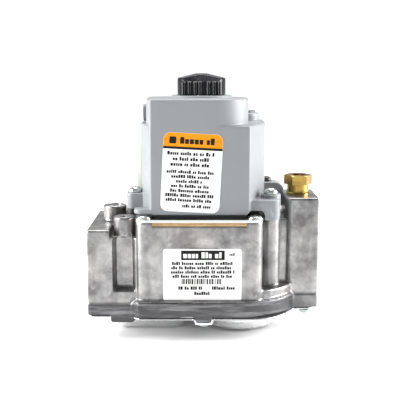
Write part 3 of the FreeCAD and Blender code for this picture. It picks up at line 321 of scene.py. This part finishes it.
def wound_wire():
    """Varnished copper winding: fine turns stacked along the coil's axis."""
    f = Finish("winding", (0.36, 0.13, 0.045), 0.30, metallic=0.55)
    wave = f.node("TexWave", {"Vector": f.place, "Scale": 1600.0, "Distortion": 0.6, "Detail": 1.0},
                  wave_type="BANDS", bands_direction="Z")
    turns = wave.outputs["Fac"]
    f.tint(f.remap(turns, 0.5, 0.0, 0.0, 0.8), (0.10, 0.035, 0.015))
    f.tint(f.remap(f.noise(90.0, detail=3.0), 0.45, 0.75, 0.0, 0.5), (0.50, 0.22, 0.07))
    f.bump(turns, 0.10 * MM, 0.8)
    return f.done()


FINISHES = {
    "cast_aluminium": cast_aluminium(),
    "grey_paint": grey_paint(),
    "bright_sheet": bright_sheet(),
    "zinc_plate": zinc_plate(),
    "brass": turned_metal("brass", (0.40, 0.27, 0.075), (0.17, 0.10, 0.022), 0.18),
    "steel": turned_metal("steel", (0.60, 0.60, 0.60), (0.36, 0.35, 0.34), 0.26),
    "spring_steel": turned_metal("spring_steel", (0.62, 0.62, 0.64), (0.30, 0.30, 0.31), 0.24),
    "black_oxide": turned_metal("black_oxide", (0.060, 0.060, 0.062), (0.025, 0.025, 0.025), 0.36),
    "black_knob": moulded("black_knob", (0.005, 0.005, 0.008), 0.12, grain=0.004, shine=0.3),
    "dark_plastic": moulded("dark_plastic", (0.085, 0.092, 0.098), 0.45),
    "ivory_plastic": moulded("ivory_plastic", (0.52, 0.51, 0.46), 0.40),
    "fibre_gasket": fibre_gasket(),
    "label": paper("label", (0.74, 0.74, 0.735)),
    "rubber": rubber(),
    "winding": wound_wire(),
}
ORANGE_INK = ink("orange_ink", (0.66, 0.235, 0.003))
BLACK_INK = ink("black_ink", (0.006, 0.005, 0.005))
TORN_METAL = turned_metal("torn_metal", (0.20, 0.195, 0.19), (0.02, 0.019, 0.018), 0.50, speck=0.9)


# ---------------------------------------------------------------- mesh helpers
def linked(name, data):
    """New object in the scene that holds the data."""
    made = bpy.data.objects.new(name, data)
    bpy.context.scene.collection.objects.link(made)
    return made


def add_piece(name, mesh, material, body="root", stands_for=()):
    """Links a finished mesh as a piece of the object."""
    piece = linked(name, mesh)
    mesh.materials.clear()
    mesh.materials.append(material)
    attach(piece, body)
    if stands_for:
        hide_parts(*stands_for)
    return piece


def baked_mesh(holder, name):
    """Plain mesh of an object with its modifiers worked in; the holder is then deleted."""
    depsgraph = bpy.context.evaluated_depsgraph_get()
    mesh = bpy.data.meshes.new_from_object(holder.evaluated_get(depsgraph), depsgraph=depsgraph)
    mesh.name = name
    bpy.data.objects.remove(holder)
    return mesh


def merged_copy(node):
    """Holder of a copy of a CAD node's mesh, with its loose triangles joined."""
    work = bmesh.new()
    work.from_mesh(NODES[node].data)
    bmesh.ops.remove_doubles(work, verts=work.verts, dist=1e-6)
    mesh = bpy.data.meshes.new(node + "_copy")
    work.to_mesh(mesh)
    work.free()
    return linked(node + "_holder", mesh)


def softened(node, name, finish, grid, rounds, keep, body="root", holder=None):
    """Rebuilds a skin on a fine grid and relaxes it, so that its edges are as round as a casting's.

    The skin is the CAD node's own, unless a holder brings one that stands for it.
    """
    holder = holder or merged_copy(node)
    remesh = holder.modifiers.new("grid", "REMESH")
    remesh.mode = "VOXEL"
    remesh.voxel_size = grid
    relax = holder.modifiers.new("relax", "SMOOTH")
    relax.factor = 0.5
    relax.iterations = rounds
    thin = holder.modifiers.new("thin", "DECIMATE")
    thin.ratio = keep
    mesh = baked_mesh(holder, name)
    for face in mesh.polygons:
        face.use_smooth = True
    return add_piece(name, mesh, FINISHES[finish], body, stands_for=[node])


def carve(holder, tool_mesh):
    """Cuts a tool out of a holder and returns the holder of the result."""
    tool = linked("tool", tool_mesh)
    cut = holder.modifiers.new("cut", "BOOLEAN")
    cut.operation = "DIFFERENCE"
    cut.solver = "EXACT"
    cut.object = tool
    name = holder.name
    mesh = baked_mesh(holder, name)
    bpy.data.objects.remove(tool)
    return linked(name, mesh)


def add_skin(work, rings, looped=False):
    """Skin over a stack of equally long rings of points, capped at both ends or looped to the start."""
    layers = [[work.verts.new(p) for p in ring] for ring in rings]
    if looped:
        layers.append(layers[0])
    count = len(layers[0])
    for below, above in zip(layers, layers[1:]):
        for i in range(count):
            j = (i + 1) % count
            work.faces.new((below[i], below[j], above[j], above[i]))
    if not looped:
        work.faces.new(list(reversed(layers[0])))
        work.faces.new(layers[-1])


def closed_mesh(name, rings, smooth=True, looped=False):
    """Mesh of one such skin, with its sides shaded smooth if asked."""
    mesh = bpy.data.meshes.new(name)
    work = bmesh.new()
    add_skin(work, rings, looped)
    bmesh.ops.recalc_face_normals(work, faces=work.faces)
    for face in work.faces:
        face.smooth = smooth and len(face.verts) == 4
    work.to_mesh(mesh)
    work.free()
    return mesh


def circle(radius, height, sides):
    """Ring of points round Z."""
    return [(radius * math.cos(math.tau * k / sides), radius * math.sin(math.tau * k / sides), height)
            for k in range(sides)]


def lathe(name, profile, sides=56):
    """Solid of revolution about Z through (radius, height) points, from bottom to top."""
    return closed_mesh(name, [circle(r, z, sides) for r, z in profile])


# ---------------------------------------------------------------- repeated details
def repeat_tree():
    """Node tree that sets a row of template copies, one step apart, on every point of the holder."""
    tree = bpy.data.node_groups.new("repeat", "GeometryNodeTree")
    sockets = {}
    for label, kind in (("Geometry", "NodeSocketGeometry"), ("Template", "NodeSocketObject"),
                        ("Finish", "NodeSocketMaterial"), ("Count", "NodeSocketInt"),
                        ("Step", "NodeSocketVector")):
        sockets[label] = tree.interface.new_socket(label, in_out="INPUT", socket_type=kind).identifier
    tree.interface.new_socket("Geometry", in_out="OUTPUT", socket_type="NodeSocketGeometry")
    given = tree.nodes.new("NodeGroupInput")
    result = tree.nodes.new("NodeGroupOutput")
    line = tree.nodes.new("GeometryNodeMeshLine")
    source = tree.nodes.new("GeometryNodeObjectInfo")
    row = tree.nodes.new("GeometryNodeInstanceOnPoints")
    rows = tree.nodes.new("GeometryNodeInstanceOnPoints")
    real = tree.nodes.new("GeometryNodeRealizeInstances")
    paint = tree.nodes.new("GeometryNodeSetMaterial")
    for start, end in ((given.outputs["Count"], line.inputs["Count"]),
                       (given.outputs["Step"], line.inputs["Offset"]),
                       (given.outputs["Template"], source.inputs["Object"]),
                       (line.outputs["Mesh"], row.inputs["Points"]),
                       (source.outputs["Geometry"], row.inputs["Instance"]),
                       (given.outputs["Geometry"], rows.inputs["Points"]),
                       (row.outputs["Instances"], rows.inputs["Instance"]),
                       (rows.outputs["Instances"], real.inputs["Geometry"]),
                       (real.outputs["Geometry"], paint.inputs["Geometry"]),
                       (given.outputs["Finish"], paint.inputs["Material"]),
                       (paint.outputs["Geometry"], result.inputs["Geometry"])):
        tree.links.new(start, end)
    return tree, sockets


REPEAT, REPEAT_SOCKETS = repeat_tree()


def repeated(name, template_mesh, finish, points, count=1, step=(0.0, 0.0, 0.0), stands_for=()):
    """One piece made of template copies set at points, each drawn out into a row of count."""
    template = linked(name + "_template", template_mesh)
    marks = bpy.data.meshes.new(name + "_points")
    marks.from_pydata([tuple(p) for p in points], [], [])
    holder = linked(name + "_holder", marks)
    modifier = holder.modifiers.new("repeat", "NODES")
    modifier.node_group = REPEAT
    for label, value in (("Template", template), ("Finish", FINISHES[finish]), ("Count", count),
                         ("Step", step)):
        modifier[REPEAT_SOCKETS[label]] = value
    mesh = baked_mesh(holder, name)
    bpy.data.objects.remove(template)
    return add_piece(name, mesh, FINISHES[finish], stands_for=stands_for)


def cross_cut(mesh, name, top, reach):
    """Cuts a tapered cross recess into the top of a screw."""
    slot = 0.42 * MM
    bottom = top - 1.5 * MM
    clear = top + 1.0 * MM
    target = linked(name, mesh)
    for wide, deep in ((reach, slot), (slot, reach)):
        rings = []
        for z, taper in ((bottom, 0.45), (clear, 1.12)):
            w = wide * taper if wide == reach else wide
            d = deep * taper if deep == reach else deep
            rings.append([(-w, -d, z), (w, -d, z), (w, d, z), (-w, d, z)])
        target = carve(target, closed_mesh("cross", rings, smooth=False))
    cut_mesh = target.data
    bpy.data.objects.remove(target)
    return cut_mesh


def pan_head(name, radius, height, shank, washer=0.0, turn=False):
    """Pan-head screw with a cross recess, seated at z = 0; turn=True hangs it head down."""
    core = 2.0 * MM
    tip = 0.8 * MM
    edge = 0.15 * MM
    foot = 0.6 * MM if washer else 0.0
    shoulder = foot + 0.25 * MM
    low = [(0.7 * core, -shank), (core, -shank + tip), (core, 0.0)]
    if washer:
        low += [(washer - edge, 0.0), (washer, edge), (washer, foot - edge), (washer - edge, foot)]
    crown = [(radius - 0.2 * MM, foot), (radius, foot + 0.2 * MM)]
    crown += [(radius * math.cos(a) ** 0.75, shoulder + (height - shoulder) * math.sin(a))
              for a in (0.25, 0.5, 0.75, 1.0, 1.2, 1.4, 1.5)]
    mesh = cross_cut(lathe(name, low + crown), name, height, 0.58 * radius)
    if turn:
        mesh.transform(Matrix.Rotation(math.pi, 4, "X"))
    return mesh


def seats(points, z):
    """Places in metres for (x, y) points at one height, all given in millimetres."""
    return [(x * MM, y * MM, z * MM) for x, y in points]


def screws():
    """Every visible screw, replacing the plain CAD heads."""
    cover = pan_head("cover_screw", 4.0 * MM, 3.2 * MM, 24.0 * MM)
    cover_seats = seats([(103.0, -19.0)], 42.5) + seats([(25.6, -5.0)], 41.3)
    repeated("cover_screw_pair", cover, "zinc_plate", cover_seats, stands_for=["cover_screws"])
    plate = pan_head("plate_screw", 3.7 * MM, 1.9 * MM, 11.0 * MM, washer=4.4 * MM)
    plate_seats = seats([(x, y) for y in (-32.0, 32.0) for x in (32.0, 93.5)], 30.5)
    repeated("plate_screw_set", plate, "zinc_plate", plate_seats, stands_for=["plate_screws"])
    rear = pan_head("rear_screw", 3.2 * MM, 3.0 * MM, 24.0 * MM)
    rear_seats = seats([(104.0, 24.5)], 43.4)
    repeated("rear_ear_screw", rear, "black_oxide", rear_seats, stands_for=["rear_screw"])
    lug = pan_head("lug_screw", 3.2 * MM, 1.6 * MM, 7.0 * MM, turn=True)
    lug_seats = seats([(65.0, -35.2)], -28.4)
    repeated("lug_screw_single", lug, "zinc_plate", lug_seats, stands_for=["bottom_screws"])
    rim = pan_head("rim_screw", 3.9 * MM, 2.9 * MM, 7.0 * MM, turn=True)
    rim_seats = seats([(65.0, 34.0), (124.2, -13.2), (124.2, 13.2)], -26.2)
    repeated("rim_screw_set", rim, "zinc_plate", rim_seats)


def thread_crest(name, radius, depth, pitch):
    """One ring-shaped crest round Z, standing in by depth from the wall of its hole."""
    profile = ((radius, -0.45 * pitch), (radius - depth, -0.08 * pitch), (radius - depth, 0.08 * pitch),
               (radius, 0.45 * pitch))
    return closed_mesh(name, [circle(r, z, 64) for r, z in profile], smooth=False, looped=True)


def threads():
    """Crests of the pipe threads in both ports and of the gauge tap's thread."""
    pipe_pitch = 1.81 * MM
    for name, first_x in (("inlet_thread", 1.6 * MM), ("outlet_thread", 118.6 * MM)):
        port = thread_crest("pipe_crest", 9.96 * MM, 0.9 * MM, pipe_pitch)
        port.transform(Matrix.Rotation(math.radians(90), 4, "Y"))
        repeated(name, port, "cast_aluminium", [(first_x, 0.0, 0.0)], 7, (pipe_pitch, 0.0, 0.0))
    tap_pitch = 0.94 * MM
    tap = thread_crest("tap_crest", 4.38 * MM, 0.45 * MM, tap_pitch)
    repeated("gauge_thread", tap, "brass", [(120.5 * MM, 0.0, 42.7 * MM)], 8, (0.0, 0.0, tap_pitch))


# ---------------------------------------------------------------- stickers
class Sticker:
    """Printed film in the XZ plane at some Y, with bars in place of words, all as thin raised plates."""

    def __init__(self, name, centre, size, corner, y, tilt, thickness):
        self.name = name
        self.size = size
        self.corner = corner
        self.thick = thickness
        self.place = (Matrix.Translation((centre[0] * MM, y * MM, centre[1] * MM))
                      @ Matrix.Rotation(math.radians(tilt), 4, "Y"))
        self.inks = {}

    def plate(self, low, high, near, far, corner=0.0, steps=6):
        """Back and front outlines of a plate between (x, z) corners, near and far off the wall, in mm."""
        left, bottom = low
        right, top = high
        if corner <= 0.0:
            flat = [(left, bottom), (right, bottom), (right, top), (left, top)]
        else:
            flat = []
            bends = ((right - corner, bottom + corner, -90), (right - corner, top - corner, 0),
                     (left + corner, top - corner, 90), (left + corner, bottom + corner, 180))
            for cx, cz, start in bends:
                for k in range(steps + 1):
                    a = math.radians(start + 90.0 * k / steps)
                    flat.append((cx + corner * math.cos(a), cz + corner * math.sin(a)))
        return [[(x * MM, -d * MM, z * MM) for x, z in flat] for d in (near, far)]

    def film(self, node):
        """The film itself, which stands for the label's CAD node."""
        w, h = self.size[0] / 2, self.size[1] / 2
        outlines = self.plate((-w, -h), (w, h), 0.0, self.thick, self.corner, steps=10)
        mesh = closed_mesh(self.name, outlines, smooth=False)
        mesh.transform(self.place)
        add_piece(self.name, mesh, FINISHES["label"], stands_for=[node])

    def mark(self, ink_name, left, top, width, height, corner=0.0, level=0):
        """Plate of ink; left and top are distances from the film's upper left corner, in mm."""
        w, h = self.size
        low, high = (left - w / 2, h / 2 - top - height), (left + width - w / 2, h / 2 - top)
        face = self.thick + INK_RISE + INK_THICK * level
        self.inks.setdefault(ink_name, []).append(self.plate(low, high, face - INK_THICK, face, corner))

    def words(self, ink_name, left, top, width, height, random_source, bold=0.8):
        """Row of word-like groups of blocks, a block for each would-be letter."""
        letter_gap = 0.10 * height
        word_gap = 0.42 * height
        x, end = left, left + width
        while x < end - 0.5 * height:
            for _ in range(random_source.randint(2, 7)):
                block = height * random_source.uniform(0.40, 0.68)
                if x + block > end:
                    break
                short = random_source.random() < 0.62
                lift = 0.28 * height if short else 0.0
                self.mark(ink_name, x, top + lift, block * bold, height - lift, level=1)
                x += block + letter_gap
            x += word_gap

    def print_all(self, finishes):
        """One piece for each ink, made of all its plates."""
        for ink_name, plates in self.inks.items():
            mesh = bpy.data.meshes.new(self.name + "_" + ink_name)
            work = bmesh.new()
            for outlines in plates:
                add_skin(work, outlines)
            bmesh.ops.recalc_face_normals(work, faces=work.faces)
            work.to_mesh(mesh)
            work.free()
            mesh.transform(self.place)
            add_piece(self.name + "_" + ink_name, mesh, finishes[ink_name])


def notice():
    """Upper sticker: orange heading band, three bold rows, seven small rows and a short last row."""
    sticker = Sticker("notice_film", (58.4, 55.8), (32.5, 43.5), 4.0, -32.0, 3.0, 0.15)
    sticker.film("notice_label")
    draw = random.Random(11)
    edge, band = 0.1, 32.3
    sticker.mark("orange", edge, edge, band, 7.6, corner=3.9)
    sticker.mark("orange", edge, 4.0, band, 3.6, level=0.5)
    sticker.words("black", 9.2, 2.3, 20.5, 3.6, draw, BOLD)
    sticker.mark("black", 3.3, 2.2, 3.8, 3.8, corner=0.8, level=1)
    sticker.mark("black", edge, 7.6, band, 1.35, level=1)
    for top, width in ((10.1, 26.8), (13.1, 20.6), (16.1, 22.8)):
        sticker.words("black", 15.9 - width / 2, top, width, 2.1, draw, BOLD)
    for row, width in enumerate((26.3, 21.0, 15.6, 20.7, 21.6, 26.5, 26.0)):
        sticker.words("black", 15.7 - width / 2, 20.3 + 2.6 * row, width, 1.85, draw, BOLD)
    sticker.words("black", 12.0, 39.1, 16.0, 1.85, draw, BOLD)
    sticker.print_all({"orange": ORANGE_INK, "black": BLACK_INK})


def rating():
    """Lower sticker: dark name bar, four rows, a striped code and number blocks."""
    sticker = Sticker("rating_film", (64.3, -0.25), (43.4, 29.4), 1.5, -36.5, 0.0, 0.15)
    sticker.film("rating_label")
    draw = random.Random(23)
    sticker.mark("black", 10.0, 0.9, 24.0, 5.4, corner=0.4)
    sticker.words("white", 11.2, 1.9, 21.8, 3.3, draw, 0.9)
    sticker.words("black", 36.6, 2.3, 3.2, 1.6, draw)
    for top, left, width in ((7.2, 5.0, 34.5), (9.7, 4.6, 33.5), (12.1, 4.3, 35.5), (14.5, 5.2, 33.0)):
        sticker.words("black", left, top, width, 1.85, draw, BOLD)
    x = 10.3
    while x < 32.0:
        wide = draw.choice((0.35, 0.5, 0.85))
        sticker.mark("black", x, 16.9, wide, 3.1)
        x += wide + draw.choice((0.3, 0.45, 0.6))
    for left, top, width in ((8.4, 21.2, 13.5), (27.0, 21.2, 12.8), (17.2, 24.2, 9.6)):
        sticker.words("black", left, top, width, 1.9, draw, BOLD)
    sticker.print_all({"black": BLACK_INK, "white": FINISHES["label"]})


# ---------------------------------------------------------------- pieces
def prism(name, outline_yz, x0, x1):
    """Closed bar along X with the given (y, z) outline."""
    return closed_mesh(name, [[(x, y, z) for y, z in outline_yz] for x in (x0, x1)], smooth=False)


def knob_piece():
    """Moulded knob: cone top, and a grip face on each side under a 45-degree slope, with ribs and a gap."""
    radius, side, apex = 13.8, 9.5, 12.0
    flat, slope_z, slope_y, half = 9.8, 7.3, 5.6, 12.3
    under, past, over = -1.0, 20.0, 16.0
    profile = [(13.6, 0.0), (radius, 0.2), (radius, side - 0.5), (13.3, side), (3.4, apex - 0.1),
               (2.2, apex)]
    blank = linked("knob_blank", lathe("knob_blank", [(r * MM, z * MM) for r, z in profile], 96))
    grip = ((flat, under), (past, under), (past, over),
            (slope_y - 3.0, slope_z + flat - slope_y + 3.0), (flat, slope_z))
    for sign in (-1, 1):
        outline = [(sign * y * MM, z * MM) for y, z in grip]
        blank = carve(blank, prism("grip", outline, -half * MM, half * MM))
    bore = [(3.1 * MM, under * MM), (3.1 * MM, 8.0 * MM)]
    blank = carve(blank, lathe("bore", bore, 48))
    whole = bmesh.new()
    whole.from_mesh(blank.data)
    for sign in (-1, 1):
        for x in (-10.2, -6.9, -3.6, -0.9, 4.0, 7.1, 10.2):
            rib = lathe("rib", [(1.05 * MM, 0.0), (1.05 * MM, slope_z * MM)], 20)
            rib.transform(Matrix.Translation((x * MM, sign * flat * MM, 0.0)))
            whole.from_mesh(rib)
    whole.to_mesh(blank.data)
    whole.free()
    blank.data.transform(Matrix.Translation((KNOB_AXIS.x, KNOB_AXIS.y, KNOB_LOW.z)))
    softened("knob", "moulded_knob", "black_knob", 0.15 * MM, 4, 0.40, body="knob", holder=blank)


def flash_path():
    """Points in millimetres along the flange's front edge and round part of its curved end."""
    start_x, front_y, stride = 27.8, -38.35, 0.26
    centre_x, centre_y, radius, turn = 83.6, -1.5, 36.85, 0.404
    path = [(start_x + stride * k, front_y) for k in range(215)]
    for k in range(132):
        a = math.radians(-90.0 + turn * k)
        path.append((centre_x + radius * math.cos(a), centre_y + radius * math.sin(a)))
    return path


def flange_flash():
    """Torn line of flash along the top edge of the thick flange."""
    draw = random.Random(5)
    path = flash_path()
    edge_z = FLANGE_TOP / MM - 0.1
    sides = 7
    rings = []
    thick = 0.3
    for k, (x, y) in enumerate(path):
        thick = min(0.75, max(0.12, thick + draw.uniform(-0.20, 0.20)))
        rise = draw.uniform(-0.22, 0.22)
        ahead = path[min(k + 1, len(path) - 1)]
        behind = path[max(k - 1, 0)]
        along = Vector((ahead[0] - behind[0], ahead[1] - behind[1], 0.0)).normalized()
        out = Vector((along.y, -along.x, 0.0))
        ring = []
        for j in range(sides):
            a = math.tau * j / sides
            offset = out * (math.cos(a) * thick * 0.6) + Vector((0, 0, math.sin(a) * thick * 0.8))
            ring.append(tuple((Vector((x, y, edge_z + rise)) + offset) * MM))
        rings.append(ring)
    add_piece("flange_flash", closed_mesh("flange_flash", rings), TORN_METAL)


def working_springs():
    """Springs, each as a piece of its own with its own copy of the CAD node's mesh."""
    for node, joint, travel in (("first_spring", "first_valve_lift", 3.0 * MM),
                                ("servo_spring", "servo_valve_lift", 1.5 * MM),
                                ("main_spring", "main_valve_lift", 4.0 * MM)):
        name = node.replace("_spring", "_return_coil")
        mesh = baked_mesh(merged_copy(node), name)
        coil = add_piece(name, mesh, FINISHES["spring_steel"], stands_for=[node])
        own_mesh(coil)


def body_and_covers():
    """The casting and both covers, with softer edges than their CAD nodes."""
    softened("valve_body", "cast_body", "cast_aluminium", 0.55 * MM, 3, 0.28)
    softened("top_cover", "painted_cover", "grey_paint", 0.42 * MM, 2, 0.30)
    softened("bottom_cover", "pressed_bottom", "bright_sheet", 0.40 * MM, 4, 0.35)


# ---------------------------------------------------------------- stage
def camera_and_light():
    """Camera in front and a little above, a white room, a soft ceiling light and a card on each side."""
    scene = bpy.context.scene
    white = (1.0, 1.0, 1.0, 1.0)
    lens = bpy.data.cameras.new("camera")
    lens.lens = 72.0
    lens.sensor_width = 36.0
    lens.clip_start = 0.01
    camera = linked("camera", lens)
    camera.location = (0.063, -0.465, 0.114)
    camera.rotation_euler = (math.radians(80.42), 0.0, 0.0)
    scene.camera = camera

    scene.view_settings.view_transform = "Standard"

    world = bpy.data.worlds.new("studio")
    world.use_nodes = True
    sky = world.node_tree
    room = sky.nodes["Background"]
    room.inputs["Color"].default_value = white
    room.inputs["Strength"].default_value = 0.40
    backdrop = sky.nodes.new("ShaderNodeBackground")
    backdrop.inputs["Color"].default_value = white
    backdrop.inputs["Strength"].default_value = 1.05
    seen = sky.nodes.new("ShaderNodeLightPath")
    mix = sky.nodes.new("ShaderNodeMixShader")
    sky.links.new(seen.outputs["Is Camera Ray"], mix.inputs[0])
    sky.links.new(room.outputs[0], mix.inputs[1])
    sky.links.new(backdrop.outputs[0], mix.inputs[2])
    sky.links.new(mix.outputs[0], sky.nodes["World Output"].inputs["Surface"])
    scene.world = world

    lamp = bpy.data.lights.new("ceiling", "SUN")
    lamp.energy = 3.9
    lamp.angle = 0.85
    holder = linked("ceiling", lamp)
    holder.rotation_euler = (math.radians(-27.0), math.radians(4.0), 0.0)
    for name, place, aim in (("left_card", (-0.50, -0.10, 0.22), (0.03, 0.0, 0.02)),
                             ("right_card", (0.62, 0.02, 0.22), (0.10, 0.0, 0.02))):
        lamp = bpy.data.lights.new(name, "AREA")
        lamp.size = 0.40
        lamp.energy = 9.0
        holder = linked(name, lamp)
        holder.location = place
        holder.rotation_euler = (Vector(aim) - Vector(place)).to_track_quat("-Z", "Y").to_euler()


def floor():
    """Pale matt floor under the valve."""
    half = 3.0
    mesh = bpy.data.meshes.new("floor")
    corners = [(x, y, FLOOR_Z) for x, y in ((-half, -half), (half, -half), (half, half), (-half, half))]
    mesh.from_pydata(corners, [], [(0, 1, 2, 3)])
    mesh.materials.append(paper("floor", (0.78, 0.78, 0.78), 0.7))
    piece = linked("floor", mesh)


# ---------------------------------------------------------------- assembly
def finish_cad_nodes():
    """Gives every CAD node its record slot's finish."""
    for entry in frame["record"]["subparts"]:
        mesh = NODES[entry["node"]].data
        mesh.materials.clear()
        mesh.materials.append(FINISHES[entry["material_slot"]])


camera_and_light()
floor()
finish_cad_nodes()
body_and_covers()
knob_piece()
screws()
threads()
notice()
rating()
flange_flash()
working_springs()
